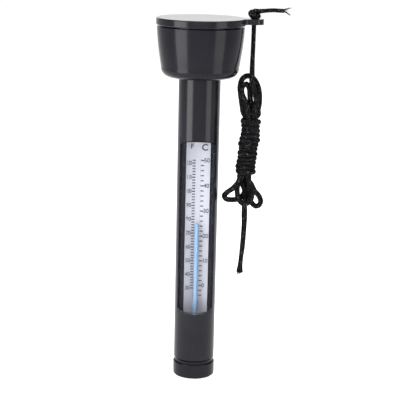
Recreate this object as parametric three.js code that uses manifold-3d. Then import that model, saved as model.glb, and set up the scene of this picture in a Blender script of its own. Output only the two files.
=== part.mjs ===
// Floating pool thermometer: a windowed tube hangs under a tapered, air-filled float. Behind
// the window a clear sleeve holds a glass stem in front of a printed card, and a steel weight
// in the foot keeps it upright. A braided cord, tied up in a hank, hangs from a lug of the lid.
//
// Millimetres, +Z up. The origin is the middle of the foot's flat face. The window faces -Y
// and the cord lug points along +X.
import * as THREE from "three";
import { mergeVertices } from "three/addons/utils/BufferGeometryUtils.js";
import Module from "manifold-3d";

const wasm = await Module();
wasm.setup();

// ---------------------------------------------------------------- driving dimensions
const GAP = 0.3; // between neighbours that touch or are glued on the real object
const AROUND = 44; // sides of a turned piece

const TUBE = { radius: 11.37, bore: 9.85, bottom: 10, shoulder: 152.6, upperBore: 9, top: 186 };
const WINDOW = { bottom: 38.3, top: 134.3, halfWidth: 9.5, crown: 3, dip: 2.3 };
const FOOT = { radius: 11.6, height: 8, fillet: 1.3, neck: 10.6, spigot: 9.5, top: 16 };
const CUP = { radius: 7.9, floor: 2 }; // the hollow of the foot, which takes the weight
const BALLAST = { radius: 7.6, chamfer: 0.8 };

const BOWL = { floor: 168.3, rim: 195.5, rimRadius: 23.6, waistRadius: 21.1, fillet: 5, wall: 1.8 };
const COLLAR = {
  bore: 11.7,
  radius: 14.2,
  top: 182,
  grooveRadius: 13.15,
  grooveFrom: 173.2,
  grooveTo: 176,
};
const LID = { radius: 24.05, top: 200, under: 196.2, plate: 3, fillet: 0.6 };
const SKIRT = {
  bottom: 189,
  inner: 18.4,
  outer: 20.85,
  groove: 19.9,
  grooveFrom: 191.6,
  grooveTo: 194.4,
};
const LUG = {
  tip: 33.6,
  halfWidth: 4.7,
  rootHalfWidth: 7,
  root: 22.6,
  neck: 25.6,
  hole: 28.3,
  holeRadius: 1.8,
};

const SLEEVE = { radius: 9.55, bore: 8.55, bottom: 18.2, top: 150 };
const STOPPER = { radius: 8.25, flange: 9.5, flangeHeight: 1.5, depth: 4.2, clearance: 0.35 };
const PLUG = { flange: 10.97, flangeHeight: 1.6, depth: 5 }; // shuts the tube's end
const CARD = { halfWidth: 6.9, front: 2.9, thickness: 0.4, bottom: 20.4, top: 147.6 };
const STEM = { radius: 1.7, bore: 1.25, top: 146 };
const BULB = { radius: 2.6, inner: 1.9, bottom: 21.6, shoulder: 27.6, wall: 0.9 };
const SPIRIT = { radius: 1, level: 86.8 };
const CLIP = { wire: 0.25, upper: 139, lower: 34, reach: 2.2, slot: 1.3 };
const CUSHION = { radius: 2.6, bottom: 19.3, top: 21.3 }; // foam that the bulb rests on

// O-rings: the radius of the ring, of its section, and its height
const FOOT_SEAL = { radius: 8.95, section: 0.6, height: 13, groove: 0.8 };
const LID_SEAL = { radius: 20.65, section: 0.6, height: (SKIRT.grooveFrom + SKIRT.grooveTo) / 2 };
const NECK_SEAL = { radius: 12.3, section: 0.65, height: (COLLAR.grooveFrom + COLLAR.grooveTo) / 2 };

const CORD = { diameter: 2.9, sides: 8 };
const PIVOT = 195.4; // height of the point under the lug about which the cord swings
const KNOT = { halfLength: 3.25, halfDepth: 3, halfHeight: 2.45 };
const HANK = { depth: 12.4, top: 170.8, loopsAt: 158.2, waistFrom: 112, waistTo: 150 };

// ---------------------------------------------------------------- shape helpers
function solid(geometry) {
  const plain = geometry.clone();
  plain.deleteAttribute("normal");
  plain.deleteAttribute("uv");
  const merged = mergeVertices(plain, 1e-4);
  return new wasm.Manifold(
    new wasm.Mesh({
      numProp: 3,
      vertProperties: new Float32Array(merged.attributes.position.array),
      triVerts: new Uint32Array(merged.index.array),
    }),
  );
}

// A piece turned about Z from [radius, height] points, which run anticlockwise.
function turned(profile, sides = AROUND) {
  const points = profile.map(([radius, height]) => new THREE.Vector2(radius, height));
  return solid(new THREE.LatheGeometry(points, sides).rotateX(Math.PI / 2));
}

// A quarter round in a profile, from one angle to another in degrees.
function quarter(radius, height, size, from, to, steps = 5) {
  return Array.from({ length: steps + 1 }, (_, i) => {
    const angle = THREE.MathUtils.degToRad(from + ((to - from) * i) / steps);
    return [radius + size * Math.cos(angle), height + size * Math.sin(angle)];
  });
}

// An outline in the XZ plane, made as thick as depth about the plane y.
function upright(outline, depth, y = 0, curveSegments = 12) {
  const options = { depth, bevelEnabled: false, curveSegments };
  const geometry = new THREE.ExtrudeGeometry(outline, options);
  return solid(geometry.rotateX(Math.PI / 2).translate(0, y + depth / 2, 0));
}

// An outline in the XY plane, from one height to another.
function level(outline, from, to, curveSegments = 12) {
  const options = { depth: to - from, bevelEnabled: false, curveSegments };
  return solid(new THREE.ExtrudeGeometry(outline, options).translate(0, 0, from));
}

function cylinder(radius, from, to, x = 0, y = 0, sides = 24) {
  const geometry = new THREE.CylinderGeometry(radius, radius, to - from, sides);
  return solid(geometry.rotateX(Math.PI / 2).translate(x, y, (from + to) / 2));
}

function box(width, depth, from, to, y = 0) {
  return solid(new THREE.BoxGeometry(width, depth, to - from).translate(0, y, (from + to) / 2));
}

function ring({ radius, section, height }, sides = 32) {
  return solid(new THREE.TorusGeometry(radius, section, 8, sides).translate(0, 0, height));
}

function ellipse(x, z, radiusX, radiusZ, turn = 0) {
  const outline = new THREE.Shape();
  outline.absellipse(x, z, radiusX, radiusZ, 0, 2 * Math.PI, false, turn);
  return outline;
}

// A round wire or cord along a curve.
function strand(curve, diameter, steps, sides = CORD.sides) {
  const section = new THREE.Shape();
  section.absarc(0, 0, diameter / 2, 0, 2 * Math.PI);
  const options = { steps, extrudePath: curve, curveSegments: sides };
  return solid(new THREE.ExtrudeGeometry(section, options));
}

const through = (...points) => new THREE.CatmullRomCurve3(points.map((p) => new THREE.Vector3(...p)));

// ---------------------------------------------------------------- looks
const BLACK_PLASTIC = { color: 0x1b1b1e, roughness: 0.3, metalness: 0 };
const CLEAR_PLASTIC = { color: 0xe9eef2, roughness: 0.08, metalness: 0, transparent: true, opacity: 0.25 };
const RUBBER = { color: 0x2a2a2c, roughness: 0.7, metalness: 0 };
const GLASS = { color: 0xf2f6f8, roughness: 0.03, metalness: 0, transparent: true, opacity: 0.3 };
const CARD_STOCK = { color: 0xdcdde8, roughness: 0.6, metalness: 0 };
const BLUE_SPIRIT = { color: 0x7fb6ea, roughness: 0.15, metalness: 0 };
const STEEL = { color: 0x9a9da1, roughness: 0.35, metalness: 1 };
const FOAM = { color: 0xe6e2d6, roughness: 0.9, metalness: 0 };
const BRAID = { color: 0x161617, roughness: 0.8, metalness: 0 };

const thermometer = new THREE.Group();

function add(name, piece, look) {
  const { vertProperties, triVerts, numProp, numVert } = piece.getMesh();
  const positions = new Float32Array(numVert * 3);
  for (let i = 0; i < numVert; i++) {
    positions.set(vertProperties.subarray(i * numProp, i * numProp + 3), i * 3);
  }
  const geometry = new THREE.BufferGeometry();
  geometry.setAttribute("position", new THREE.BufferAttribute(positions, 3));
  geometry.setIndex(new THREE.BufferAttribute(new Uint32Array(triVerts), 1));
  geometry.computeVertexNormals();
  const mesh = new THREE.Mesh(geometry, new THREE.MeshStandardMaterial(look));
  mesh.name = name;
  thermometer.add(mesh);
}

// ---------------------------------------------------------------- tube and foot
function windowOutline() {
  const { bottom, top, halfWidth, crown, dip } = WINDOW;
  const outline = new THREE.Shape();
  outline.moveTo(-halfWidth, bottom + dip);
  outline.bezierCurveTo(-halfWidth, bottom + dip / 4, -halfWidth / 2, bottom, 0, bottom);
  outline.bezierCurveTo(halfWidth / 2, bottom, halfWidth, bottom + dip / 4, halfWidth, bottom + dip);
  outline.lineTo(halfWidth, top - crown);
  outline.bezierCurveTo(halfWidth, top - crown / 4, halfWidth / 2, top, 0, top);
  outline.bezierCurveTo(-halfWidth / 2, top, -halfWidth, top - crown / 4, -halfWidth, top - crown);
  return outline;
}

function outerTube() {
  const { radius, bore, bottom, shoulder, upperBore, top } = TUBE;
  const shell = turned([
    [bore, bottom],
    [radius - 0.3, bottom],
    [radius, bottom + 0.3],
    [radius, top],
    [upperBore, top],
    [upperBore, shoulder],
    [bore, shoulder],
    [bore, bottom],
  ]);
  return shell.subtract(upright(windowOutline(), radius, -radius));
}

// Closes the tube's end inside the float, so that water in the tube stays out of the float.
function tubeTopPlug() {
  const { flange, flangeHeight, depth } = PLUG;
  const radius = TUBE.upperBore - GAP;
  const seat = TUBE.top + GAP;
  return turned([
    [0, seat - depth],
    [radius, seat - depth],
    [radius, seat],
    [flange, seat],
    [flange, seat + flangeHeight],
    [0, seat + flangeHeight],
  ]);
}

function baseCap() {
  const { radius, height, fillet, neck, spigot, top } = FOOT;
  const { height: seal, groove } = FOOT_SEAL;
  return turned([
    [0, 0],
    ...quarter(radius - fillet, fillet, fillet, -90, 0),
    ...quarter(radius - 0.4, height - 0.4, 0.4, 0, 90, 2),
    [neck, height],
    [neck, TUBE.bottom - GAP],
    [spigot, TUBE.bottom - GAP],
    [spigot, seal - groove],
    [spigot - 1.3, seal - groove],
    [spigot - 1.3, seal + groove],
    [spigot, seal + groove],
    [spigot, top],
    [CUP.radius, top],
    [CUP.radius, CUP.floor],
    [0, CUP.floor],
  ]);
}

function ballastWeight() {
  const { radius, chamfer } = BALLAST;
  const from = CUP.floor + GAP;
  const to = FOOT.top - GAP;
  return turned([
    [0, from],
    [radius - chamfer, from],
    [radius, from + chamfer],
    [radius, to - chamfer],
    [radius - chamfer, to],
    [0, to],
  ]);
}

// ---------------------------------------------------------------- float
function floatBowl() {
  const { floor, rim, rimRadius, waistRadius, fillet, wall } = BOWL;
  const waist = floor + fillet + 0.7;
  const belly = [rimRadius - 0.85, 187]; // the side bulges a little between waist and rim
  return turned([
    [COLLAR.bore, floor],
    ...quarter(waistRadius - fillet, floor + fillet, fillet, -90, 0, 6),
    [waistRadius + 0.1, waist],
    belly,
    [rimRadius, rim - 0.3],
    [rimRadius - 0.3, rim],
    [rimRadius - wall, rim],
    [belly[0] - wall, belly[1]],
    [waistRadius + 0.1 - wall, waist],
    ...quarter(waistRadius - fillet, floor + fillet, fillet - wall, 0, -90, 4),
    [COLLAR.radius, floor + wall],
    [COLLAR.radius, COLLAR.top],
    [COLLAR.bore, COLLAR.top],
    [COLLAR.bore, COLLAR.grooveTo],
    [COLLAR.grooveRadius, COLLAR.grooveTo],
    [COLLAR.grooveRadius, COLLAR.grooveFrom],
    [COLLAR.bore, COLLAR.grooveFrom],
    [COLLAR.bore, floor],
  ]);
}

function lugOutline() {
  const { tip, halfWidth, rootHalfWidth, root, neck } = LUG;
  const outline = new THREE.Shape();
  outline.moveTo(SKIRT.inner, -rootHalfWidth);
  outline.lineTo(root, -rootHalfWidth);
  outline.quadraticCurveTo(root + 1, -halfWidth, neck, -halfWidth);
  outline.lineTo(tip - halfWidth, -halfWidth);
  outline.absarc(tip - halfWidth, 0, halfWidth, -Math.PI / 2, Math.PI / 2, false);
  outline.lineTo(neck, halfWidth);
  outline.quadraticCurveTo(root + 1, halfWidth, root, rootHalfWidth);
  outline.lineTo(SKIRT.inner, rootHalfWidth);
  return outline;
}

function floatLid() {
  const { radius, top, under, plate, fillet } = LID;
  const { bottom, inner, outer, groove, grooveFrom, grooveTo } = SKIRT;
  const disc = turned([
    [0, top - plate],
    [inner, top - plate],
    [inner, bottom],
    [outer, bottom],
    [outer, grooveFrom],
    [groove, grooveFrom],
    [groove, grooveTo],
    [outer, grooveTo],
    [outer, under],
    [radius - 0.3, under],
    [radius, under + 0.3],
    ...quarter(radius - fillet, top - fillet, fillet, 0, 90, 3),
    [0, top],
  ]);
  const lug = level(lugOutline(), top - plate, top);
  const hole = cylinder(LUG.holeRadius, under - 1, top + 1, LUG.hole);
  return disc.add(lug).subtract(hole);
}

// ---------------------------------------------------------------- clear sleeve and its stoppers
function clearSleeve() {
  const { radius, bore, bottom, top } = SLEEVE;
  return turned([
    [bore, bottom],
    [radius, bottom],
    [radius, top],
    [bore, top],
    [bore, bottom],
  ]);
}

// Each stopper has a slot for an end of the card and a round pocket for an end of the stem.
function endSlot(from, to) {
  return box(2 * CARD.halfWidth + 2 * GAP, CARD.thickness + 2 * GAP, from, to, cardMiddle());
}

function lowerStopper() {
  const seat = SLEEVE.bottom - GAP;
  const { radius, flange, flangeHeight, depth, clearance } = STOPPER;
  const body = turned([
    [0, seat - flangeHeight],
    [flange, seat - flangeHeight],
    [flange, seat],
    [radius, seat],
    [radius, seat + depth],
    [0, seat + depth],
  ]);
  const open = seat + 2 * depth;
  const pocket = cylinder(BULB.radius + clearance, CUSHION.bottom - GAP, open);
  return body.subtract(endSlot(CARD.bottom - GAP, open)).subtract(pocket);
}

function upperStopper() {
  const seat = SLEEVE.top + GAP;
  const { radius, flange, flangeHeight, depth, clearance } = STOPPER;
  const body = turned([
    [0, seat - depth],
    [radius, seat - depth],
    [radius, seat],
    [flange, seat],
    [flange, seat + flangeHeight],
    [0, seat + flangeHeight],
  ]);
  const open = seat - 2 * depth;
  const pocket = cylinder(STEM.radius + clearance, open, CARD.top + GAP);
  return body.subtract(endSlot(open, CARD.top + GAP)).subtract(pocket);
}

// ---------------------------------------------------------------- card and stem
const cardMiddle = () => CARD.front + CARD.thickness / 2;

function scaleCard() {
  const card = box(2 * CARD.halfWidth, CARD.thickness, CARD.bottom, CARD.top, cardMiddle());
  const half = CLIP.slot / 2;
  const holes = [CLIP.lower, CLIP.upper].flatMap((height) => {
    const hole = box(CLIP.slot, 2, height - half, height + half, cardMiddle());
    return [-1, 1].map((side) => hole.translate([side * CLIP.reach, 0, 0]));
  });
  return holes.reduce((left, hole) => left.subtract(hole), card);
}

function glassStem() {
  const { radius, bore, top } = STEM;
  return turned(
    [
      [0, BULB.bottom],
      ...quarter(BULB.radius - 1.2, BULB.bottom + 1.2, 1.2, -90, 0, 3),
      [BULB.radius, BULB.shoulder],
      [radius, BULB.shoulder + 1],
      [radius, top - 0.5],
      [radius - 0.5, top],
      [bore, top],
      [bore, BULB.shoulder],
      [BULB.inner, BULB.shoulder - 0.8],
      [BULB.inner, BULB.bottom + BULB.wall],
      [0, BULB.bottom + BULB.wall],
    ],
    24,
  );
}

function spiritInBulb() {
  const radius = BULB.inner - 0.25;
  return turned(
    [
      [0, BULB.bottom + BULB.wall + GAP],
      [radius, BULB.bottom + BULB.wall + GAP],
      [radius, BULB.shoulder - 1.1],
      [SPIRIT.radius, BULB.shoulder - GAP],
      [0, BULB.shoulder - GAP],
    ],
    24,
  );
}

function spiritColumn() {
  const { radius, level: top } = SPIRIT;
  return turned(
    [
      [0, BULB.shoulder],
      [radius, BULB.shoulder],
      ...quarter(radius - 0.4, top - 0.4, 0.4, 0, 90, 2),
      [0, top],
    ],
    20,
  );
}

// A wire staple: round the front of the stem, back through the card and bent over behind it.
function stemClip(height) {
  const front = STEM.radius + CLIP.wire + 0.1;
  const back = CARD.front + CARD.thickness + CLIP.wire + 0.1;
  const leg = CLIP.reach;
  const round = front * Math.SQRT1_2;
  const legs = through(
    [leg - 1.3, back + 0.3, height],
    [leg - 0.2, back + 0.15, height],
    [leg, CARD.front, height],
    [front, 0.5, height],
    [round, -round, height],
    [0, -front, height],
    [-round, -round, height],
    [-front, 0.5, height],
    [-leg, CARD.front, height],
    [0.2 - leg, back + 0.15, height],
    [1.3 - leg, back + 0.3, height],
  );
  return strand(legs, 2 * CLIP.wire, 28, 6);
}

// ---------------------------------------------------------------- cord
// The cord is knotted above the lug, drops through its hole and hangs straight to the hank.
function cordThroughLug() {
  return cylinder(CORD.diameter / 2, PIVOT + CORD.diameter / 2 + GAP, LID.top + 0.1, LUG.hole, 0, CORD.sides);
}

function hangingCord() {
  const run = cylinder(CORD.diameter / 2, HANK.top + GAP, PIVOT, LUG.hole, 0, CORD.sides);
  const end = new THREE.SphereGeometry(CORD.diameter / 2, CORD.sides, 6).rotateX(Math.PI / 2);
  return run.add(solid(end.translate(LUG.hole, 0, PIVOT)));
}

function cordKnot() {
  const { halfLength, halfDepth, halfHeight } = KNOT;
  const knot = new THREE.SphereGeometry(1, 14, 10).rotateX(Math.PI / 2);
  knot.scale(halfLength, halfDepth, halfHeight);
  return solid(knot.translate(LUG.hole + 0.3, 0, LID.top + 0.5 + halfHeight));
}

function knotTail() {
  const curve = through(
    [32.3, 0, 203.7],
    [34.5, 0, 204.6],
    [38, 0, 205],
    [42, 0.2, 204.7],
    [47.5, 0, 204.3],
  );
  return strand(curve, CORD.diameter, 7);
}

// The hank: loops above and below a waist that the cord's own end is wound round.
function cordHank() {
  const { loopsAt, top, waistFrom, waistTo, depth } = HANK;
  const upperLoops = ellipse(27.5, loopsAt, 7.1, top - loopsAt);
  const waist = new THREE.Shape();
  waist.moveTo(20.9, waistFrom);
  waist.lineTo(32.4, waistFrom);
  waist.quadraticCurveTo(34.6, 130, 34, waistTo);
  waist.lineTo(22.6, waistTo);
  waist.quadraticCurveTo(21.8, 130, 20.9, waistFrom);
  const leftLoop = ellipse(20.3, 105.9, 7.6, 4.8, THREE.MathUtils.degToRad(38));
  const middleLoop = ellipse(26, 107.6, 5.6, 9.2);
  const rightLoop = ellipse(31.6, 105.6, 4.8, 10.4, THREE.MathUtils.degToRad(22));
  return [waist, leftLoop, middleLoop, rightLoop]
    .map((outline) => upright(outline, depth))
    .reduce((whole, piece) => whole.add(piece), upright(upperLoops, depth));
}

function cordTail() {
  const curve = through(
    [26.2, 0, 98.1],
    [26.3, 0, 88.8],
    [26, 0, 80],
    [25.5, 0, 72.3],
    [24.9, 0, 66],
    [24.5, 0, 59.4],
  );
  return strand(curve, CORD.diameter, 8);
}

// ---------------------------------------------------------------- assembly
add("outer_tube", outerTube(), BLACK_PLASTIC);
add("tube_top_plug", tubeTopPlug(), BLACK_PLASTIC);
add("base_cap", baseCap(), BLACK_PLASTIC);
add("base_seal", ring(FOOT_SEAL), RUBBER);
add("ballast_weight", ballastWeight(), STEEL);
add("float_bowl", floatBowl(), BLACK_PLASTIC);
add("float_lid", floatLid(), BLACK_PLASTIC);
add("lid_seal", ring(LID_SEAL), RUBBER);
add("neck_seal", ring(NECK_SEAL), RUBBER);
add("clear_sleeve", clearSleeve(), CLEAR_PLASTIC);
add("sleeve_lower_stopper", lowerStopper(), RUBBER);
add("sleeve_upper_stopper", upperStopper(), RUBBER);
add("bulb_cushion", cylinder(CUSHION.radius, CUSHION.bottom, CUSHION.top), FOAM);
add("scale_card", scaleCard(), CARD_STOCK);
add("glass_stem", glassStem(), GLASS);
add("spirit_in_bulb", spiritInBulb(), BLUE_SPIRIT);
add("spirit_column", spiritColumn(), BLUE_SPIRIT);
add("stem_clip_upper", stemClip(CLIP.upper), STEEL);
add("stem_clip_lower", stemClip(CLIP.lower), STEEL);
add("cord_through_lug", cordThroughLug(), BRAID);
add("cord_knot", cordKnot(), BRAID);
add("cord_knot_tail", knotTail(), BRAID);
add("cord_hanging", hangingCord(), BRAID);
add("cord_hank", cordHank(), BRAID);
add("cord_tail", cordTail(), BRAID);

export default thermometer;
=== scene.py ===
"""The looks of a floating pool thermometer: a windowed black tube under a float, and a hanked cord.

Profiles, heights and the cord's route are given in millimetres, and MM makes them metres. The tube's
axis is Z, its window faces -Y, and the cord's lug is at +X.
"""

import math
import random
from contextlib import contextmanager

import bpy
import numpy as np
from mathutils import Matrix, Vector


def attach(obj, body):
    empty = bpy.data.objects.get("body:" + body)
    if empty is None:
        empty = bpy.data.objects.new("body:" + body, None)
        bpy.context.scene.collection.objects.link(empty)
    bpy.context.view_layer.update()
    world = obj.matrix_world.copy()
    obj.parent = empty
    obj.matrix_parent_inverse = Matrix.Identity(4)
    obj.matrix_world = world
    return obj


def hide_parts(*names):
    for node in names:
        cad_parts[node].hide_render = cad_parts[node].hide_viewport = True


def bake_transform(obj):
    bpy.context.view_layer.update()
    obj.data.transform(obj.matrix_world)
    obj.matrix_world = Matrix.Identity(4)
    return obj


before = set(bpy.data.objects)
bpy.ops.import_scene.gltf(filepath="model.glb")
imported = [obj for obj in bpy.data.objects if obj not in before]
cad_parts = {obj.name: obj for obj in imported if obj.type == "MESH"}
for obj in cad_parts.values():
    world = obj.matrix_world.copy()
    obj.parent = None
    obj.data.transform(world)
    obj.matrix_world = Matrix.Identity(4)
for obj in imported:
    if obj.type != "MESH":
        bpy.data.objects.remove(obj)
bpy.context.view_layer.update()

MM = 0.001
SIDES = 160  # round the turned pieces that show
SMOOTH = math.radians(32)  # edges sharper than this stay crisp


# ---------------------------------------------------------------- modelling
def alone(*pieces):
    """Selects these objects and nothing else."""
    bpy.ops.object.select_all(action="DESELECT")
    for piece in pieces:
        piece.select_set(True)
    bpy.context.view_layer.objects.active = pieces[0]


def fresh(name, primitive, **settings):
    """Adds a primitive, the start of a piece, with nothing else selected."""
    bpy.ops.object.select_all(action="DESELECT")
    primitive(**settings)
    piece = bpy.context.object
    piece.name = piece.data.name = name
    return piece


@contextmanager
def editing(piece):
    """Edit mode with the whole piece selected."""
    alone(piece)
    bpy.ops.object.mode_set(mode="EDIT")
    bpy.ops.mesh.select_mode(type="VERT")
    bpy.ops.mesh.select_all(action="SELECT")
    yield
    bpy.ops.object.mode_set(mode="OBJECT")


def choose(piece, wanted):
    """Selects the vertices whose place passes a test, and the edges and faces between them."""
    mesh = piece.data
    for vertex in mesh.vertices:
        vertex.select = wanted(vertex.co)
    for part in (*mesh.edges, *mesh.polygons):
        part.select = all(mesh.vertices[i].select for i in part.vertices)


@contextmanager
def editing_end(piece, wanted):
    """Edit mode with only the part of a piece that passes a test selected."""
    alone(piece)
    bpy.ops.object.transform_apply(location=True, rotation=True, scale=True)
    bpy.ops.object.mode_set(mode="EDIT")
    bpy.ops.mesh.select_mode(type="VERT")
    bpy.ops.object.mode_set(mode="OBJECT")
    choose(piece, wanted)
    bpy.ops.object.mode_set(mode="EDIT")
    yield
    bpy.ops.mesh.select_all(action="SELECT")
    bpy.ops.mesh.normals_make_consistent(inside=False)
    bpy.ops.object.mode_set(mode="OBJECT")


def settle(piece):
    """Puts the piece's place in its mesh and shades it smooth between crisp edges."""
    alone(piece)
    bpy.ops.object.transform_apply(location=True, rotation=True, scale=True)
    bpy.ops.object.shade_smooth_by_angle(angle=SMOOTH)
    return apply(piece, "WEIGHTED_NORMAL", keep_sharp=True, weight=100)


def apply(piece, kind, **settings):
    """Adds a modifier to the piece and applies it."""
    alone(piece)
    modifier = piece.modifiers.new(kind.title(), kind)
    for key, value in settings.items():
        setattr(modifier, key, value)
    bpy.ops.object.modifier_apply(modifier=modifier.name)
    return piece


def rounded(piece, width, segments=3, angle=32, clamped=True):
    """Breaks the piece's sharp edges."""
    return apply(
        piece,
        "BEVEL",
        width=width,
        segments=segments,
        limit_method="ANGLE",
        angle_limit=math.radians(angle),
        use_clamp_overlap=clamped,
        harden_normals=False,
    )


def combined(piece, other, operation):
    """Cuts the other shape from the piece, or adds it, and removes the other."""
    apply(piece, "BOOLEAN", object=other, operation=operation, solver="EXACT")
    bpy.data.objects.remove(other)
    return piece


def joined(name, pieces):
    alone(*pieces)
    bpy.ops.object.join()
    piece = bpy.context.object
    piece.name = piece.data.name = name
    return piece


def quarter(radius, height, size, start, end, steps=6):
    """Points of a quarter round in a profile, between two angles in degrees."""
    angles = np.radians(np.linspace(start, end, steps + 1))
    return [(radius + size * math.cos(a), height + size * math.sin(a)) for a in angles]


def turned(name, profile, sides=SIDES, shut=False):
    """A circle drawn out ring by ring along (radius, height) points in millimetres.

    A shut profile ends where it starts. Any other is closed by a flat face at each end.
    """
    (radius, height), *rings = profile
    fill = "NOTHING" if shut else "NGON"
    piece = fresh(name, bpy.ops.mesh.primitive_circle_add, vertices=sides, radius=radius * MM, fill_type=fill)
    with editing(piece):
        bpy.ops.transform.translate(value=(0, 0, height * MM))
        for next_radius, next_height in rings:
            rise = {"value": (0, 0, (next_height - height) * MM)}
            bpy.ops.mesh.extrude_edges_move(TRANSFORM_OT_translate=rise)
            widen = next_radius / radius
            bpy.ops.transform.resize(value=(widen, widen, 1))
            radius, height = next_radius, next_height
        if not shut:
            bpy.ops.mesh.edge_face_add()
        bpy.ops.mesh.select_all(action="SELECT")
        bpy.ops.mesh.remove_doubles(threshold=MM * 0.001)
        bpy.ops.mesh.normals_make_consistent(inside=False)
    return settle(piece)


def cuboid(name, low, high):
    """A block between two corners in millimetres, the start of a cutter."""
    low, high = Vector(low) * MM, Vector(high) * MM
    size = high - low
    return fresh(
        name, bpy.ops.mesh.primitive_cube_add, size=1, location=(low + high) / 2, scale=size
    )


def mesh_piece(name, points, faces):
    """A piece made of points in metres and the faces between them."""
    mesh = bpy.data.meshes.new(name)
    mesh.from_pydata([tuple(point) for point in points], [], faces)
    mesh.update()
    piece = bpy.data.objects.new(name, mesh)
    bpy.context.scene.collection.objects.link(piece)
    return piece


# ---------------------------------------------------------------- materials
class Signal:
    """An output socket of a material's nodes. Arithmetic on it adds Math nodes."""

    def __init__(self, finish, socket):
        self.finish, self.socket = finish, socket

    def calculate(self, operation, *values):
        return self.finish.node("ShaderNodeMath", {"operation": operation}, dict(enumerate(values)))

    def __add__(self, other):
        return self.calculate("ADD", self, other)

    def __radd__(self, other):
        return self.calculate("ADD", other, self)

    def __sub__(self, other):
        return self.calculate("SUBTRACT", self, other)

    def __rsub__(self, other):
        return self.calculate("SUBTRACT", other, self)

    def __mul__(self, other):
        return self.calculate("MULTIPLY", self, other)

    def __rmul__(self, other):
        return self.calculate("MULTIPLY", other, self)

    def sine(self):
        return self.calculate("SINE", self)


class Finish:
    """A material built round one Principled shader."""

    def __init__(self, name, **sockets):
        self.material = bpy.data.materials.new(name)
        self.material.use_nodes = True
        self.tree = self.material.node_tree
        self.shader = self.tree.nodes["Principled BSDF"]
        self.set(**sockets)

    def set(self, **sockets):
        """Sets the shader's sockets, named with underscores, to numbers, colours or signals."""
        for key, value in sockets.items():
            self.feed(self.shader.inputs[key.replace("_", " ").title().replace("Ior", "IOR")], value)
        return self

    def feed(self, socket, value):
        if isinstance(value, Signal):
            self.tree.links.new(value.socket, socket)
        elif isinstance(value, (tuple, list)) and socket.type == "RGBA":
            socket.default_value = (*value, 1)
        else:
            socket.default_value = value

    def node(self, kind, settings=None, inputs=None, output=0):
        """Adds any node: its settings first, then the values or signals of its sockets."""
        node = self.tree.nodes.new(kind)
        for key, value in (settings or {}).items():
            if key == "stops":
                self.colour_stops(node.color_ramp, value)
            else:
                setattr(node, key, value)
        for key, value in (inputs or {}).items():
            self.feed(node.inputs[key], value)
        return Signal(self, node.outputs[output])

    @staticmethod
    def colour_stops(ramp, stops):
        while len(ramp.elements) < len(stops):
            ramp.elements.new(1)
        for element, (place, colour) in zip(ramp.elements, stops):
            element.position = place
            element.color = (*colour, 1)

    def place(self, scale=(1, 1, 1)):
        """Where a point is on the object, closer or wider spaced along each axis."""
        coordinates = self.node("ShaderNodeTexCoord", output="Object")
        return self.node("ShaderNodeMapping", None, {"Vector": coordinates, "Scale": scale})

    def noise(self, size, detail=2, stretch=(1, 1, 1)):
        """Noise from 0 to 1 whose features are about size metres across."""
        inputs = {"Vector": self.place(stretch), "Scale": 1 / size, "Detail": detail}
        return self.node("ShaderNodeTexNoise", None, inputs)

    def shades(self, signal, dark, light, start=0.3, end=0.7):
        """A colour that runs from dark to light as the signal goes from start to end."""
        return self.node("ShaderNodeValToRGB", {"stops": [(start, dark), (end, light)]}, {"Fac": signal})

    def bump(self, height, distance, strength, below=None):
        """Relief up to distance metres deep, over another relief if there is one below."""
        inputs = {"Height": height, "Distance": distance, "Strength": strength}
        if below is not None:
            inputs["Normal"] = below
        return self.node("ShaderNodeBump", None, inputs)


def black_plastic(name, specular, peel_depth):
    """Glossy moulded ABS: a faint orange peel, small flow marks and light handling haze."""
    finish = Finish(name, specular_ior_level=specular, coat_weight=0.06, coat_roughness=0.1)
    haze = finish.noise(0.018, detail=3)
    grain = finish.noise(0.0006, detail=1)
    colour = finish.shades(haze, (0.0034, 0.0031, 0.0046), (0.005, 0.0046, 0.0067))
    peel = finish.bump(finish.noise(0.0035, detail=2), peel_depth, 0.5)
    return finish.set(
        base_color=colour,
        roughness=0.15 + haze * 0.06 + grain * 0.03,
        normal=finish.bump(grain, 0.000004, 0.3, peel),
    ).material


def film(name, share, at_edges, **sockets):
    """A clear wall: it hides little where it faces the eye and more where it curves away."""
    finish = Finish(name, **sockets)
    haze = finish.noise(0.012, detail=2)
    turn = finish.node("ShaderNodeLayerWeight", None, {"Blend": 0.5}, output="Facing")
    return finish.set(roughness=0.28 + haze * 0.1, alpha=share + turn * turn * turn * at_edges).material


def clear_plastic():
    """The polished sleeve: it lets the card show and darkens a little towards its sides."""
    return film("clear_plastic", 0.03, 0.42, base_color=(0.115, 0.12, 0.15), specular_ior_level=0.25)


def clear_glass():
    """The stem: all but invisible, with a cool tint."""
    return film("clear_glass", 0.02, 0.12, base_color=(0.75, 0.79, 0.86), specular_ior_level=0.3)


def blue_spirit():
    """Dyed alcohol seen through the stem, a little uneven."""
    finish = Finish("blue_spirit", specular_ior_level=0.06)
    tone = finish.noise(0.004, detail=2)
    colour = finish.shades(tone, (0.135, 0.225, 0.34), (0.155, 0.245, 0.375))
    return finish.set(base_color=colour, roughness=0.4 + tone * 0.1).material


def white_card():
    """Coated card: a cool white with a fine paper tooth."""
    finish = Finish("white_card")
    fibre = finish.noise(0.0004, detail=3)
    tone = finish.noise(0.02, detail=2)
    colour = finish.shades(tone, (0.385, 0.39, 0.445), (0.415, 0.42, 0.475))
    return finish.set(
        base_color=colour, roughness=0.45 + fibre * 0.2, normal=finish.bump(fibre, 0.00001, 0.3)
    ).material


def printing_ink():
    """Dark blue-black ink, thinner here and there."""
    finish = Finish("printing_ink")
    wear = finish.noise(0.0005, detail=3)
    colour = finish.shades(wear, (0.012, 0.015, 0.035), (0.03, 0.034, 0.06))
    return finish.set(base_color=colour, roughness=0.4 + wear * 0.2).material


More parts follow.
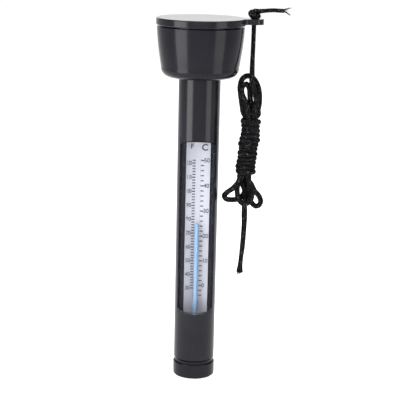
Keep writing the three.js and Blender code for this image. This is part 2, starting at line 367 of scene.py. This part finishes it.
def seal_rubber():
    """Dull rubber with a pale bloom."""
    finish = Finish("seal_rubber")
    bloom = finish.noise(0.003, detail=4)
    colour = finish.shades(bloom, (0.014, 0.014, 0.015), (0.03, 0.03, 0.032))
    return finish.set(
        base_color=colour, roughness=0.6 + bloom * 0.25, normal=finish.bump(bloom, 0.00002, 0.4)
    ).material


def turned_steel():
    """Bright steel with fine lathe lines round it."""
    finish = Finish("turned_steel", metallic=1.0)
    lines = finish.noise(0.0008, detail=3, stretch=(0.15, 0.15, 1))
    colour = finish.shades(lines, (0.4, 0.41, 0.42), (0.58, 0.59, 0.6))
    return finish.set(
        base_color=colour, roughness=0.25 + lines * 0.2, normal=finish.bump(lines, 0.00002, 0.3)
    ).material


def cushion_foam():
    """Cream foam with open cells."""
    finish = Finish("cushion_foam", roughness=0.95)
    cells = finish.node("ShaderNodeTexVoronoi", None, {"Vector": finish.place(), "Scale": 2500})
    colour = finish.shades(cells, (0.5, 0.48, 0.42), (0.82, 0.8, 0.74), 0.1, 0.6)
    return finish.set(base_color=colour, normal=finish.bump(cells, 0.0001, 0.8)).material


FILAMENTS = 4  # side by side in each strand of the cord


def braided_cord():
    """Black polypropylene braid: fine filaments run along each strand, with pale specks painted into its
    colour as highlights.
    """
    finish = Finish("braided_cord", specular_ior_level=0.03)
    filaments = finish.node("ShaderNodeUVMap", {"uv_map": "braid"})
    parts = finish.node("ShaderNodeSeparateXYZ", None, {"Vector": filaments})
    across = Signal(finish, parts.socket.node.outputs["X"])
    along = Signal(finish, parts.socket.node.outputs["Y"])
    filament_turns = FILAMENTS * 2 * math.pi
    one_way = ((across + along) * filament_turns).sine()
    other_way = ((across - along) * filament_turns).sine()
    painted_glint_speckle = finish.noise(0.00055, detail=2)
    # The pale end of this ramp is painted highlight: glints painted as specks into the black braid's colour.
    colour = finish.shades(painted_glint_speckle, (0.0007, 0.0007, 0.0009), (0.12, 0.12, 0.125), 0.6, 0.77)
    threads = finish.bump(one_way + other_way, 0.00003, 0.5)
    return finish.set(
        base_color=colour,
        roughness=0.42 + painted_glint_speckle * 0.3,
        normal=finish.bump(painted_glint_speckle, 0.00008, 0.6, threads),
    ).material


def studio_floor():
    """Plain pale paper that glows a little, so that its shadows stay soft."""
    finish = Finish("studio_floor", roughness=1.0, specular_ior_level=0.0, emission_strength=0.57)
    tone = finish.noise(0.6, detail=2)
    pale = finish.shades(tone, (0.9, 0.9, 0.9), (0.92, 0.92, 0.92))
    return finish.set(base_color=pale, emission_color=(1, 1, 1)).material


def wear(piece, material):
    piece.data.materials.clear()
    piece.data.materials.append(material)
    return piece


PLASTIC = black_plastic("black_plastic", specular=0.06, peel_depth=0.00002)
SMOOTH_PLASTIC = black_plastic("smooth_black_plastic", specular=0.1, peel_depth=0.000004)
BUFFED_PLASTIC = black_plastic("buffed_black_plastic", specular=0.6, peel_depth=0.000005)
CLEAR = clear_plastic()
GLASS = clear_glass()
SPIRIT = blue_spirit()
CARD = white_card()
INK = printing_ink()
RUBBER = seal_rubber()
STEEL = turned_steel()
FOAM = cushion_foam()
BRAID = braided_cord()


def stands_for(piece, material, body="thermometer", nodes=()):
    """Finishes a piece: its material, its body and the CAD nodes that it replaces."""
    wear(piece, material)
    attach(piece, body)
    if nodes:
        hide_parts(*nodes)
    return piece


# ---------------------------------------------------------------- camera
# Places in metres, angles in degrees and the lens and its sensor in camera millimetres.
CAMERA = {"across": 0.0016, "away": 0.7, "height": 0.25691, "tilt": 12.618, "roll": 1.3, "lens": 117.26}


def add_camera():
    data = bpy.data.cameras.new("camera")
    data.sensor_width = 36
    data.lens = CAMERA["lens"]
    data.clip_start = 0.01
    camera = bpy.data.objects.new("camera", data)
    bpy.context.scene.collection.objects.link(camera)
    camera.matrix_world = (
        Matrix.Translation((CAMERA["across"], -CAMERA["away"], CAMERA["height"]))
        @ Matrix.Rotation(math.radians(90 - CAMERA["tilt"]), 4, "X")
        @ Matrix.Rotation(math.radians(CAMERA["roll"]), 4, "Z")
    )
    bpy.context.scene.camera = camera


# ---------------------------------------------------------------- cord
CORD_DIAMETER = 2.9
LUG_HOLE = (28.3, 0, 197)  # where the cord leaves the lug, in millimetres
STEP = 0.33  # between the rings of a braided cord
WRAPS_START = math.radians(50)  # round the waist, from +X towards +Y
WAIST_BOTTOM, WAIST_HEIGHT = 116, 26
WAIST_OUT, WAIST_LEAN = 26.1, 2.1  # how far its bottom is from the axis, and its top beyond that
WAIST_ACROSS, WAIST_DEEP = 4.15, 4.6  # from the waist's middle to the cord wound round it
STRANDS = 6  # that wind each way round the cord
LAY = 1.45 * MM  # along the cord between one strand and the next


def waist_middle(height):
    """How far out the hank's wound waist is at a height: it leans out towards the top."""
    share = min(max((height - WAIST_BOTTOM) / WAIST_HEIGHT, 0), 1)
    return WAIST_OUT + WAIST_LEAN * share * share * (3 - 2 * share)


def run(across, deep, start, end):
    """One straight run of the cord inside the wound waist, as points between two heights."""
    heights = np.linspace(start, end, 5)
    return [(waist_middle(height) + across, deep, height) for height in heights]


def wraps(turns=12.1, top=146.2, bottom=115.8, per_turn=24):
    """The cord wound round the hank's waist, from the top down, slightly uneven as by hand."""
    chance = random.Random(7)
    uneven = [(chance.uniform(-0.55, 0.55), chance.uniform(-0.3, 0.3)) for _ in range(2 * int(turns) + 3)]
    points = []
    for i in range(round(turns * per_turn) + 1):
        turn = i / per_turn
        angle = WRAPS_START + 2 * math.pi * turn
        height = top + (bottom - top) * turn / turns
        half = int(2 * turn)
        mixed = 2 * turn - half
        wide, lift = ((1 - mixed) * a + mixed * b for a, b in zip(uneven[half], uneven[half + 1]))
        slope = 0.45 * math.cos(angle)  # the wraps rise a little to the right
        across = waist_middle(height) + (WAIST_ACROSS + wide) * math.cos(angle)
        deep = (WAIST_DEEP + wide / 2) * math.sin(angle)
        points.append((across, deep, height + slope + 0.5 * lift))
    return points


def cord_route():
    """The cord from the lug's hole to its cut end, in millimetres."""
    drop = [(28.3, 0, 199.4), (28.3, 0, 192), (28.2, -0.3, 184), (28.05, -1.2, 177), (28.0, -2.8, 171)]
    drop += [(28.1, -3.6, 166), (28.9, -3.6, 162.6), (30.0, -3.3, 159.6), (30.8, -2.8, 155.5)]
    right_loop = [(29.6, -2.2, 110), (31.3, -1.6, 106.6), (33.9, -0.6, 103.4), (35.0, 0.4, 100.3)]
    right_loop += [(34.2, 1.0, 97.9), (32.4, 1.4, 97.2), (30.4, 1.8, 98.6), (29.0, 1.9, 102)]
    right_loop += [(28.6, 1.5, 107)]
    outer_loop = [(31.4, 0.6, 149.5), (32.4, 0.8, 153), (32.6, 0.8, 157.5), (31.9, 0.7, 162.5)]
    outer_loop += [(30.2, 0.4, 166.4), (28.1, 0.3, 168.6), (25.5, 0.4, 169.3), (23.0, 0.8, 167.5)]
    outer_loop += [(21.9, 1.2, 163.4), (22.3, 1.6, 158.8), (23.1, 1.7, 154), (24.0, 1.4, 149.2)]
    lower_bend = [(22.9, 0.8, 112), (22.0, 0.6, 108.5), (22.0, 0, 104.6), (22.8, -1.0, 101.6)]
    lower_bend += [(24.5, -1.9, 99.6), (26.6, -2.3, 99.1), (28.7, -2.1, 100.4), (30.0, -1.4, 103.4)]
    lower_bend += [(29.6, -0.4, 107.6)]
    inner_loop = [(28.4, 1.4, 149), (28.2, 0.9, 153), (27.3, 0, 158.5), (26.9, -0.9, 162.4)]
    inner_loop += [(25.3, -1.4, 165.0), (23.3, -1.6, 164.1), (22.7, -1.8, 161.6), (23.3, -2.0, 159)]
    inner_loop += [(24.6, -2.2, 156.4), (25.7, -2.6, 153.2), (26.6, -2.6, 149.6)]
    left_loop = [(23.9, -2.2, 114), (22.3, -2.1, 111.2), (19.5, -1.5, 107.6), (16.5, -0.8, 105.2)]
    left_loop += [(14.9, 0.2, 102.9), (16.0, 0.9, 101), (18.7, 1.3, 100.5), (21.8, 1.6, 100.8)]
    left_loop += [(24.6, 2.1, 102.4), (26.2, 2.5, 106)]
    over_waist = [(27.3, 3.0, 147.5), (27.3, 2.7, 151.2), (28.6, 2.2, 153.9), (30.6, 2.6, 153.6)]
    over_waist += [(32.0, 3.4, 150.6), (32.3, 3.6, 147.8)]
    under_waist = [(23.2, 4.1, 114), (23.4, 3.7, 111.7), (24.7, 3.0, 109), (26.1, 2.2, 106), (26.5, 1.4, 102)]
    tail = [(26.2, 0.6, 97.6), (26.3, 0, 88.8), (26.0, 0, 80), (25.5, 0, 72.3), (24.9, 0, 66)]
    tail += [(24.5, 0, 59.7)]
    return (
        drop
        + run(1.6, -2.0, 149, 113)
        + right_loop
        + run(2.0, 0.5, 112, 145)
        + outer_loop
        + run(-2.0, 0.2, 145, 115)
        + lower_bend
        + run(0.9, 2.2, 112, 145)
        + inner_loop
        + run(-1.0, -2.1, 146, 117)
        + left_loop
        + run(-1.2, 2.3, 111, 143)
        + over_waist
        + wraps()
        + under_waist
        + tail
    )


def smooth_line(points, step):
    """Evenly spaced points, in metres, on a smooth curve through points in millimetres."""
    points = np.array(points, float)
    points = np.vstack([2 * points[0] - points[1], points, 2 * points[-1] - points[-2]])
    gaps = np.linalg.norm(np.diff(points, axis=0), axis=1)
    knots = np.concatenate([[0], np.cumsum(np.sqrt(gaps))])  # the square root keeps out kinks
    stretches = []
    for i in range(1, len(points) - 2):
        before, a, b, after = points[i - 1 : i + 3]
        k0, k1, k2, k3 = knots[i - 1 : i + 3]
        t = np.linspace(k1, k2, 24, endpoint=False)[:, None]
        a1 = (k1 - t) / (k1 - k0) * before + (t - k0) / (k1 - k0) * a
        a2 = (k2 - t) / (k2 - k1) * a + (t - k1) / (k2 - k1) * b
        a3 = (k3 - t) / (k3 - k2) * b + (t - k2) / (k3 - k2) * after
        b1 = (k2 - t) / (k2 - k0) * a1 + (t - k0) / (k2 - k0) * a2
        b2 = (k3 - t) / (k3 - k1) * a2 + (t - k1) / (k3 - k1) * a3
        stretches.append((k2 - t) / (k2 - k1) * b1 + (t - k1) / (k2 - k1) * b2)
    dense = np.vstack([*stretches, points[-2:-1]])
    along = np.concatenate([[0], np.cumsum(np.linalg.norm(np.diff(dense, axis=0), axis=1))])
    places = np.linspace(0, along[-1], max(int(along[-1] / step), 2) + 1)
    return np.column_stack([np.interp(places, along, dense[:, k]) for k in range(3)]) * MM


def carried_frames(line):
    """For each point of a line, two directions across it that don't twist along it."""
    ahead = np.gradient(line, axis=0)
    ahead /= np.linalg.norm(ahead, axis=1)[:, None]
    side = np.cross(ahead[0], (0.3, 1.0, 0.2))  # any way that no cord here starts along
    sides = []
    for direction in ahead:
        side = side - direction * side.dot(direction)
        side /= np.linalg.norm(side)
        sides.append(side)
    sides = np.array(sides)
    return sides, np.cross(ahead, sides)


def tube_along(name, line, widths, relief=None, sides=24):
    """A closed tube along a line. widths are its half widths and relief its surface pattern."""
    across, deep = carried_frames(line)
    angles = np.arange(sides) * 2 * math.pi / sides
    along = np.concatenate([[0], np.cumsum(np.linalg.norm(np.diff(line, axis=0), axis=1))])
    size = np.repeat(np.array(widths)[:, None], sides, axis=1)
    if relief:
        size = size * relief(angles[None, :], along[:, None])
    rings = (
        line[:, None]
        + across[:, None] * (size * np.cos(angles))[..., None]
        + deep[:, None] * (size * np.sin(angles))[..., None]
    )
    count = len(line)
    points = np.vstack([rings.reshape(-1, 3), line[:1], line[-1:]])
    faces, places = [], []
    for i in range(count - 1):
        for j in range(sides):
            k = (j + 1) % sides
            faces.append((i * sides + j, i * sides + k, (i + 1) * sides + k, (i + 1) * sides + j))
            places += [(j, i), (j + 1, i), (j + 1, i + 1), (j, i + 1)]
    for j in range(sides):
        k = (j + 1) % sides
        faces.append((count * sides, k, j))
        faces.append((count * sides + 1, (count - 1) * sides + j, (count - 1) * sides + k))
        places += [(j, 0)] * 3 + [(j, count - 1)] * 3
    piece = mesh_piece(name, points, faces)
    place = np.array(places, float)
    layer = piece.data.uv_layers.new(name="braid")
    uv = np.column_stack([place[:, 0] / sides * STRANDS, along[place[:, 1].astype(int)] / LAY])
    layer.data.foreach_set("uv", uv.ravel())
    alone(piece)
    bpy.ops.object.shade_smooth()
    return piece


def braid(angle, along):
    """The surface of a round braid: each strand crowns where it passes over another."""
    one = STRANDS * angle / (2 * math.pi) + along / LAY
    other = STRANDS * angle / (2 * math.pi) - along / LAY
    over = (np.floor(one) + np.floor(other)) % 2 == 0
    one, other = one % 1 - 0.5, other % 1 - 0.5
    width, length = np.where(over, one, other), np.where(over, other, one)
    crown = (1 - 2.6 * width**2) * (1 - 1.6 * length**2)  # 1 on its top, falling to its edges
    return 0.86 + 0.2 * crown


def hanging_cord():
    """The cord from the lug to its cut end, and the line along its middle."""
    line = smooth_line(cord_route(), STEP)
    widths = np.full(len(line), CORD_DIAMETER / 2 * MM)
    back = np.linspace(len(line) * STEP, 0, len(line))  # millimetres from the cut end
    drawn_thin = 0.12 * np.exp(-(((back - 8) / 4) ** 2))
    flared = 0.3 * np.exp(-((back / 2.2) ** 2))
    widths *= 1 - drawn_thin + flared
    slack = 0.12 * np.exp(-(((back - 33) / 4) ** 2))
    widths *= 1 + slack
    under_load = np.clip((32 - (back[0] - back)) / 14, 0, 1)  # 1 below the lug, 0 past 32 mm
    widths *= 1 - 0.17 * under_load
    piece = tube_along("cord", line, widths, braid)
    wear(piece, BRAID)
    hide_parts("cord_through_lug", "cord_hanging", "cord_hank", "cord_tail")
    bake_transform(piece)
    return piece, line


def knot():
    """The stopper knot above the lug, with the short tail that leaves it."""
    points = [(28.3, 0, 198.2), (28.3, 0, 200.4), (27.1, -1.5, 201.5), (26.3, -0.7, 202.8)]
    points += [(27.2, 1.2, 203.5), (29.3, 1.9, 202.8), (30.6, 0.8, 201.5), (30.0, -1.3, 201.3)]
    points += [(28.3, -2.1, 202.1), (27.3, -0.9, 203.2), (28.5, 0.3, 204.0), (30.6, 0.1, 204.0)]
    points += [(32.6, -0.1, 204.2), (35.5, 0, 204.5), (38.5, 0, 204.7), (41.5, 0.1, 204.6)]
    points += [(44.3, 0.1, 204.5)]
    line = smooth_line(points, 0.28)
    tail = np.clip((line[:, 0] / MM - 30) / 4, 0, 1)  # the loose tail is drawn thinner
    widths = (1.3 - 0.22 * tail) * MM
    piece = tube_along("cord_knot_tied", line, widths, braid)
    return stands_for(piece, BRAID, nodes=("cord_knot", "cord_knot_tail"))


def frayed_end():
    """Yarns that have come loose at the end of the knot's tail."""
    chance = random.Random(11)
    yarns = [
        ([(43.4, 0, 204.9), (45, 0.1, 205.3), (46.6, 0.2, 205.9), (48, 0.1, 206.1)], 0.27),
        ([(43.4, 0, 204.5), (45, -0.1, 203.9), (46.4, -0.3, 203.0), (47.5, -0.2, 202.3)], 0.45),
    ]
    for _ in range(14):
        lean, side = chance.uniform(-1.6, 1.6), chance.uniform(-1.2, 1.2)
        reach = chance.uniform(1.4, 3.2)
        start = (43.2, side * 0.4, 204.7 + lean * 0.3)
        middle = (44 + reach * 0.5, side * 0.7, 204.7 + lean * 0.6)
        yarns.append(([start, middle, (44 + reach, side, 204.6 + lean)], chance.uniform(0.07, 0.13)))
    return loose_yarns("cord_frayed_end", yarns, "thermometer")


def cut_end():
    """Short filaments that stand out of the cord's cut lower end."""
    chance = random.Random(5)
    yarns = []
    for i in range(22):
        angle = i * 2.4  # near the golden angle, which spreads them evenly
        out = chance.uniform(0.5, 1.3)
        x, y = math.cos(angle) * out, math.sin(angle) * out
        reach = chance.uniform(0.5, 1.6) - 0.35 * x
        start = (24.6 + 0.8 * x, 0.8 * y, 60.6)
        yarns.append(([start, (24.5 + x, y, 59.6), (24.4 + 1.25 * x, 1.2 * y, 59.6 - reach)], 0.14))
    return loose_yarns("cord_cut_end", yarns, "cord")


def loose_yarns(name, yarns, body):
    """Thin tapering yarns, each a list of points and a half width, joined as one piece."""
    pieces = []
    for points, thick in yarns:
        line = smooth_line(points, 0.45)
        widths = np.linspace(thick, thick * 0.6, len(line)) * MM
        pieces.append(tube_along(name, line, widths, sides=8))
    return stands_for(joined(name, pieces), BRAID, body)


# ---------------------------------------------------------------- tube, foot and float
TUBE_RADIUS, TUBE_BORE = 11.37, 9.85
WINDOW = {"bottom": 38.3, "top": 134.3, "half": 9.5, "crown": 3.0, "dip": 2.3}
WINDOW_CHAMFER = 0.62
CAP_FACE = 10.2  # radius of the flat that the foot stands on
LUG = {"middle": 28.9, "half": 4.7, "under": 197.02, "top": 199.98}
LUG_HOLE_RADIUS = 1.8


def drawn_in(block, wanted, start, rise, half):
    """Draws the end of a block out to an arch: step by step on by rise, and in from half."""
    with editing_end(block, wanted):
        width, height = half, start
        for t in np.linspace(0, 1, 17)[1:-1]:  # along the arch, from its corner to its middle
            next_width = half * ((1 - t) ** 3 + 3 * (1 - t) ** 2 * t + 1.5 * (1 - t) * t**2)
            next_height = start + rise * (2.25 * (1 - t) ** 2 * t + 3 * (1 - t) * t**2 + t**3)
            step = {"value": (0, 0, (next_height - height) * MM)}
            bpy.ops.mesh.extrude_region_move(TRANSFORM_OT_translate=step)
            bpy.ops.transform.resize(value=(next_width / width, 1, 1))
            width, height = next_width, next_height


def window_cutter():
    """A block as wide as the window, whose two ends are drawn out to flat arches."""
    half = WINDOW["half"]
    low, high = WINDOW["bottom"] + WINDOW["dip"], WINDOW["top"] - WINDOW["crown"]
    cutter = cuboid("window_cutter", (-half, -14, low), (half, 0, high))
    drawn_in(cutter, lambda corner: corner.z > (high - 0.1) * MM, high, WINDOW["crown"], half)
    drawn_in(cutter, lambda corner: corner.z < (low + 0.1) * MM, low, -WINDOW["dip"], half)
    return cutter


def on_sill(corner):
    """Whether a corner of the tube belongs to the chamfer along the window's curved bottom."""
    low, high = (WINDOW["bottom"] - 1) * MM, (WINDOW["bottom"] + WINDOW["dip"] + 1) * MM
    past_bore = math.hypot(corner.x, corner.y) > 10.6 * MM
    return corner.y < 0 and low < corner.z < high and past_bore


def outer_tube():
    """The tube, and its window with a chamfered lip that is buffed along the bottom."""
    foot, shoulder, end = 10, 152.6, 186
    beside_window = (37, 136)  # rings just past the window's ends keep its corners flat
    profile = [(TUBE_BORE, foot)]
    profile += [(TUBE_RADIUS, height) for height in (foot, *beside_window, end)]
    profile += [(9, end), (9, shoulder), (TUBE_BORE, shoulder)]
    profile += [(TUBE_BORE, height) for height in (*reversed(beside_window), foot)]
    tube = turned("tube", profile, shut=True)
    combined(tube, window_cutter(), "DIFFERENCE")
    rounded(tube, WINDOW_CHAMFER * MM, segments=1, angle=55, clamped=False)
    tube = stands_for(settle(tube), SMOOTH_PLASTIC, nodes=("outer_tube",))
    tube.data.materials.append(BUFFED_PLASTIC)
    tube.active_material_index = 1
    with editing_end(tube, on_sill):
        bpy.ops.object.material_slot_assign()
    return tube


def base_cap():
    """The foot: a round edge, a groove below the tube and a hollow spigot with its seal's groove."""
    profile = [(CAP_FACE, 0)] + quarter(10.3, 1.3, 1.3, -80, 0) + quarter(11.2, 7.6, 0.4, 0, 90, 4)
    profile += [(10.6, 8), (10.6, 9.7), (9.5, 9.7), (9.5, 12.2), (8.2, 12.2), (8.2, 13.8), (9.5, 13.8)]
    profile += [(9.5, 16), (7.9, 16), (7.9, 2)]
    return stands_for(turned("foot", profile), PLASTIC, nodes=("base_cap",))


def float_bowl():
    """The tapered float: a slightly bellied side, a round lower edge and a collar for the tube."""
    side = np.linspace(0, 1, 9)[1:]
    outer = [(21.15 + 2.45 * t + 0.35 * math.sin(math.pi * t), 174 + 21.2 * t) for t in side]
    inner = [(radius - 1.8, height) for radius, height in reversed(outer)]
    profile = [(11.7, 168.3), (15.6, 168.3)] + quarter(16.1, 173.3, 5, -84, 0, 12) + [(21.15, 174)] + outer
    profile += [(23.3, 195.5), (22, 195.5)] + inner + [(19.4, 174)] + quarter(16.1, 173.3, 3.2, 0, -90, 8)
    profile += [(14.2, 170.1), (14.2, 182), (11.7, 182), (11.7, 176), (13.15, 176), (13.15, 173.2)]
    profile += [(11.7, 173.2), (11.7, 168.3)]
    return stands_for(turned("float", profile, shut=True), PLASTIC, nodes=("float_bowl",))


def float_lid():
    """The lid with its skirt, and the lug with its hole."""
    profile = [(18.4, 197), (18.4, 189), (20.85, 189), (20.85, 191.6), (19.9, 191.6), (19.9, 194.4)]
    profile += [(20.85, 194.4), (20.85, 196.2), (23.75, 196.2), (24.05, 196.5)]
    profile += quarter(23.45, 199.4, 0.6, 0, 90, 5)
    lid = turned("lid", profile)
    tongue = lug_block()
    combined(lid, tongue, "UNION")
    hole = fresh(
        "lug_hole", bpy.ops.mesh.primitive_cylinder_add, vertices=48, radius=LUG_HOLE_RADIUS * MM,
        depth=8 * MM, location=(LUG_HOLE[0] * MM, 0, LUG_HOLE[2] * MM),
    )
    combined(lid, hole, "DIFFERENCE")
    rounded(lid, 0.22 * MM, angle=50)
    return stands_for(settle(lid), SMOOTH_PLASTIC, nodes=("float_lid",))


def lug_block():
    """The flat tongue that the cord hangs from, drawn out from a wide root to a round tip."""
    middle, wide = LUG["middle"], LUG["half"]
    stations = [(18.6, 7.0), (22.6, 7.0), (23.2, 6.15), (23.9, 5.4), (24.7, 4.9)]
    stations += [(25.6, wide), (middle, wide)]
    stations += [(middle + wide * math.sin(a), wide * math.cos(a)) for a in np.radians(range(8, 88, 8))]
    stations += [(33.58, 0.3)]
    (place, half), *rest = stations
    tongue = cuboid("lug", (place - 0.5, -half, LUG["under"]), (place, half, LUG["top"]))
    with editing_end(tongue, lambda corner: corner.x > (place - 0.1) * MM):
        for next_place, next_half in rest:
            along = {"value": ((next_place - place) * MM, 0, 0)}
            bpy.ops.mesh.extrude_region_move(TRANSFORM_OT_translate=along)
            bpy.ops.transform.resize(value=(1, next_half / half, 1))
            place, half = next_place, next_half
    return tongue


# ---------------------------------------------------------------- sleeve, card, stem and spirit
CARD_FACE = 2.9  # the card's printed face
CARD_THICK = 0.4
PRINT_FRONT = CARD_FACE - 0.03  # the print stands just proud of the card
PRINT_SHIFT = 0.4  # the print sits a little to the right on its card
ZERO_CELSIUS = 50.45  # height of 0 degrees on the card
PER_CELSIUS = 1.428
LONG_LINE, SHORT_LINE = 0.74, 0.66  # how thick the lines at the tens and between them are
CELSIUS = {"lines": 1.3, "numbers": 3.05, "size": 3.4}
FAHRENHEIT = {"lines": -1.65, "numbers": -3.6, "size": 3.3}
SPIRIT_RADIUS = 1.3


def clear_sleeve():
    """The clear tube behind the window."""
    bore, outside, low, high = 8.55, 9.55, 18.2, 150
    profile = [(bore, low), (outside, low), (outside, high), (bore, high), (bore, low)]
    sleeve = rounded(turned("sleeve", profile, shut=True), 0.15 * MM)
    return stands_for(settle(sleeve), CLEAR, nodes=("clear_sleeve",))


def glass_stem():
    """The glass rod and its bulb, as the spirit shows through it."""
    profile = quarter(1.4, 22.8, 1.2, -80, 0) + [(2.6, 27.2), (2.3, 27.9), (1.8, 28.5), (1.7, 29.2)]
    profile += [(1.7, 145.5), (1.2, 146)]
    stem = turned("stem", profile, sides=64)
    return stands_for(stem, GLASS, nodes=("glass_stem",))


def spirit_column():
    """The spirit with its rounded top. Rings all the way up let it stretch."""
    foot, shoulder = 27.6, 86.2
    profile = [(SPIRIT_RADIUS, height) for height in (foot, *np.linspace(32, shoulder, 12))]
    profile += quarter(0.7, shoulder, 0.6, 20, 80, 4)
    column = turned("spirit", profile, sides=48)
    wear(column, SPIRIT)
    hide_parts("spirit_column")
    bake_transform(column)
    return column


def scale_card():
    """The flat card behind the stem, its edges and corners just broken."""
    card = cuboid("card", (-6.4, CARD_FACE, 20.4), (6.85, CARD_FACE + CARD_THICK, 147.6))
    alone(card)
    bpy.ops.object.transform_apply(location=True, rotation=True, scale=True)
    return stands_for(settle(rounded(card, 0.08 * MM, segments=2)), CARD, nodes=("scale_card",))


def at_celsius(degrees):
    """The height of a temperature on the card."""
    return ZERO_CELSIUS + PER_CELSIUS * degrees


def at_fahrenheit(degrees):
    return at_celsius((degrees - 32) / 1.8)


def bar(x, width, height, thick):
    """One printed line, from x to x + width."""
    line = fresh(
        "print", bpy.ops.mesh.primitive_plane_add, size=1, rotation=(math.pi / 2, 0, 0),
        location=((x + width / 2 + PRINT_SHIFT) * MM, PRINT_FRONT * MM, height * MM),
    )
    line.scale = (width * MM, thick * MM, 1)
    return line


def lettering(text, x, height, size, side="CENTER", narrow=1, bold=0.08):
    """Printed characters upright on the card, with their middle or one side at x.

    narrow squeezes them across, and bold is how far their strokes are thickened.
    """
    bpy.ops.object.select_all(action="DESELECT")
    bpy.ops.object.text_add()
    letters = bpy.context.object
    letters.data.body = text
    letters.data.size = size * MM
    letters.data.align_x = side
    letters.data.align_y = "CENTER"
    letters.data.offset = bold * MM
    bpy.ops.object.convert(target="MESH")
    letters.rotation_euler = (math.pi / 2, 0, 0)
    letters.scale.x = narrow
    letters.location = ((x + PRINT_SHIFT) * MM, PRINT_FRONT * MM, height * MM)
    return letters


def scale_print():
    """Both scales: a line every two degrees, longer at the tens, with numbers beside those."""
    marks = []
    for degrees in range(-4, 51, 2):
        width, thick = (1.8, SHORT_LINE) if degrees % 10 else (1.95, LONG_LINE)
        marks.append(bar(CELSIUS["lines"], width, at_celsius(degrees), thick))
    for degrees in range(30, 123, 2):
        width, thick = (1.7, SHORT_LINE) if degrees % 10 else (1.85, LONG_LINE)
        marks.append(bar(FAHRENHEIT["lines"] - width, width, at_fahrenheit(degrees), thick))
    for degrees in range(0, 51, 10):
        height, size = at_celsius(degrees), CELSIUS["size"]
        marks.append(lettering(str(degrees), CELSIUS["numbers"], height, size, "LEFT", 0.9))
    for degrees in range(30, 121, 10):
        height, size = at_fahrenheit(degrees), FAHRENHEIT["size"]
        narrow = 0.6 if degrees > 99 else 0.84  # three figures have to fit the card
        marks.append(lettering(str(degrees), FAHRENHEIT["numbers"], height, size, "RIGHT", narrow))
    marks += [lettering("C", 3.3, 129.0, 5.0, bold=0.17), lettering("F", -3.7, 129.6, 3.6, bold=0.16)]
    printed = joined("scale_print", marks)
    alone(printed)
    bpy.ops.object.transform_apply(location=True, rotation=True, scale=True)
    return stands_for(printed, INK)


# ---------------------------------------------------------------- inner pieces, floor and light
INNER = {
    "tube_top_plug": PLASTIC,
    "base_seal": RUBBER,
    "ballast_weight": STEEL,
    "lid_seal": RUBBER,
    "neck_seal": RUBBER,
    "sleeve_lower_stopper": RUBBER,
    "sleeve_upper_stopper": RUBBER,
    "bulb_cushion": FOAM,
    "spirit_in_bulb": SPIRIT,
    "stem_clip_upper": STEEL,
    "stem_clip_lower": STEEL,
}


def add_floor():
    floor = fresh("floor", bpy.ops.mesh.primitive_circle_add, vertices=64, radius=14, fill_type="NGON")
    floor.location.z = -0.2 * MM  # just clear of the foot
    wear(floor, studio_floor())


def add_light(name, place, aim, size, radiance):
    """A soft panel at a place, facing a point, whose face looks as bright as radiance says."""
    data = bpy.data.lights.new(name, "AREA")
    data.shape = "RECTANGLE"
    data.size, data.size_y = size
    data.energy = radiance * math.pi * size[0] * size[1]
    light = bpy.data.objects.new(name, data)
    bpy.context.scene.collection.objects.link(light)
    light.location = place
    light.rotation_euler = (Vector(aim) - Vector(place)).to_track_quat("-Z", "Y").to_euler()


def add_studio():
    """A pale surround and five panels: one to each side, one behind, one above and one in front."""
    world = bpy.data.worlds.new("studio")
    bpy.context.scene.world = world
    world.use_nodes = True
    surround = world.node_tree.nodes["Background"]
    surround.inputs["Color"].default_value = (0.97, 0.97, 1, 1)
    surround.inputs["Strength"].default_value = 0.5
    tube, head, below = (0, 0, 0.1), (0, 0, 0.15), (0, 0, 0.08)
    add_light("left_panel", (-0.315, -0.246, 0.15), tube, size=(0.24, 0.42), radiance=11)
    add_light("right_panel", (0.32, -0.24, 0.15), tube, size=(0.2, 0.42), radiance=5)
    add_light("back_panel", (0, 1.2, 0.5), head, size=(2.0, 0.66), radiance=1.1)
    add_light("top_panel", (0, -0.32, 0.85), tube, size=(1.6, 0.5), radiance=5)
    add_light("front_panel", (0, -1.3, 0.45), below, size=(1.2, 0.7), radiance=2.6)
    bpy.context.scene.view_settings.view_transform = "Standard"


# ---------------------------------------------------------------- the whole
add_camera()
cord, cord_line = hanging_cord()
knot()
frayed_end()
cut_end()
outer_tube()
base_cap()
float_bowl()
float_lid()
clear_sleeve()
glass_stem()
spirit_column()
scale_card()
scale_print()
for node, material in INNER.items():
    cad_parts[node].material_slots[0].material = material
add_floor()
add_studio()
